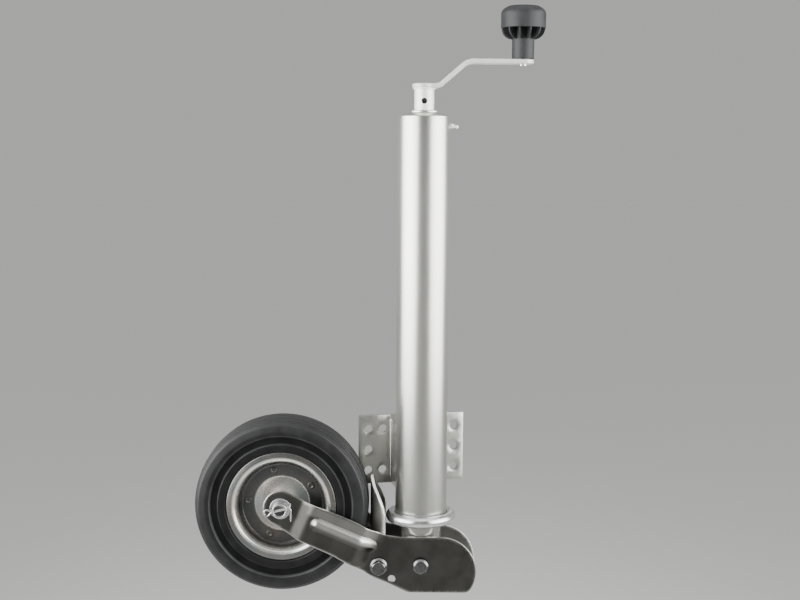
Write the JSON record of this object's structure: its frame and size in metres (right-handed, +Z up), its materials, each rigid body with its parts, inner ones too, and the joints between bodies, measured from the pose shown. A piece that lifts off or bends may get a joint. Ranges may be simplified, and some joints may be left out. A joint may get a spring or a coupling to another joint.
{
  "type": "trailer tongue jack",
  "caption": "Crank jack for a trailer drawbar: a screw tube with a bolt-on plate, and a fork that swings its solid rubber wheel down as the tube is wound out.",
  "frame": {"origin": "centre of the mounting plate's face", "axes": "+Z up along the tube towards the crank, +Y out of the mounting face, away from the tube; the folded fork points to -X"},
  "size_m": [0.4564, 0.1548, 0.7825],
  "materials": {
    "satin_zinc": "satin zinc coat on drawn steel tube",
    "fork_zinc": "dark satin zinc on pressed steel",
    "bracket_zinc": "satin zinc on pressed steel",
    "crank_zinc": "pale matt zinc on forged and turned steel",
    "bolt_zinc": "dull zinc plating on bolts and nuts",
    "bright_zinc": "bright zinc plating",
    "ram_steel": "bright drawn tube, zinc plated",
    "machined_steel": "machined steel, oiled",
    "bearing_steel": "ground bearing steel",
    "bronze": "cast bronze",
    "guide_plastic": "natural nylon",
    "knob_black": "black moulded plastic, fine grain",
    "tyre_rubber": "black solid rubber",
    "rim_zinc": "pressed steel, bright zinc"
  },
  "bodies": {
    "outer": {"outer_tube": "satin_zinc", "top_cap": "satin_zinc", "guide_collar": "bright_zinc", "lower_guide_bush": "guide_plastic", "mounting_plate": "satin_zinc", "plate_ribs": "satin_zinc", "grease_nipple": "crank_zinc", "thrust_race_upper": "bearing_steel", "thrust_balls": "bearing_steel"},
    "crank": {"spindle": "machined_steel", "spindle_collar": "machined_steel", "thrust_race_lower": "bearing_steel", "crank_sleeve": "crank_zinc", "roll_pin": "machined_steel", "crank_arm": "crank_zinc", "knob_rivet": "bright_zinc", "knob_washer": "bright_zinc"},
    "knob": {"knob_body": "knob_black", "knob_cap": "knob_black"},
    "carriage": {"spindle_nut": "bronze", "guide_ring": "machined_steel", "nut_thrust_washer": "bronze"},
    "ram": {"inner_tube": "ram_steel", "inner_tube_head": "machined_steel", "nut_retaining_ring": "machined_steel", "slide_ring": "guide_plastic", "pivot_sleeve": "machined_steel", "end_plug": "machined_steel"},
    "fork": {"fork_plate_near": "fork_zinc", "fork_plate_far": "bracket_zinc", "tongue_bracket": "bracket_zinc", "pivot_bolt": "bolt_zinc", "pivot_nut": "bolt_zinc", "stop_bolt": "bolt_zinc", "stop_nut": "bolt_zinc", "stop_spacer": "machined_steel", "axle_tube": "bright_zinc", "axle_washers": "bright_zinc", "cotter_pin_near": "bright_zinc", "cotter_pin_far": "bright_zinc"},
    "wheel": {"tyre": "tyre_rubber", "rim_half_near": "rim_zinc", "rim_half_far": "rim_zinc", "rim_rivets": "rim_zinc", "hub_tube": "rim_zinc", "hub_bushes": "guide_plastic"}
  },
  "joints": [
    {"name": "crank_turn", "type": "hinge", "parent": "outer", "child": "crank", "pos_m": [0, -0.065, 0.45], "axis": [0, 0, -1], "range_deg": [0, 14400]},
    {"name": "knob_spin", "type": "hinge", "parent": "crank", "child": "knob", "pos_m": [0.12594, -0.09292, 0.568], "axis": [0, 0, 1], "continuous": true},
    {"name": "ram_slide", "type": "slide", "parent": "outer", "child": "carriage", "axis": [0, 0, -1], "range_m": [0, 0.24]},
    {"name": "swivel", "type": "hinge", "parent": "carriage", "child": "ram", "pos_m": [0, -0.065, 0.4], "axis": [0, 0, 1], "range_deg": [0, 205]},
    {"name": "fork_fold", "type": "hinge", "parent": "ram", "child": "fork", "pos_m": [0, -0.065, -0.1415], "axis": [-0.2164, -0.9763, 0], "range_deg": [0, 103]},
    {"name": "wheel_spin", "type": "hinge", "parent": "fork", "child": "wheel", "pos_m": [-0.18354, -0.02431, -0.0615], "axis": [0.2164, 0.9763, 0], "continuous": true}
  ],
  "couplings": [
    {"joint": "ram_slide", "follows": "crank_turn", "m_per_rad": 0.00095492},
    {"joint": "fork_fold", "follows": "crank_turn", "ratio": 0.0071527}
  ]
}
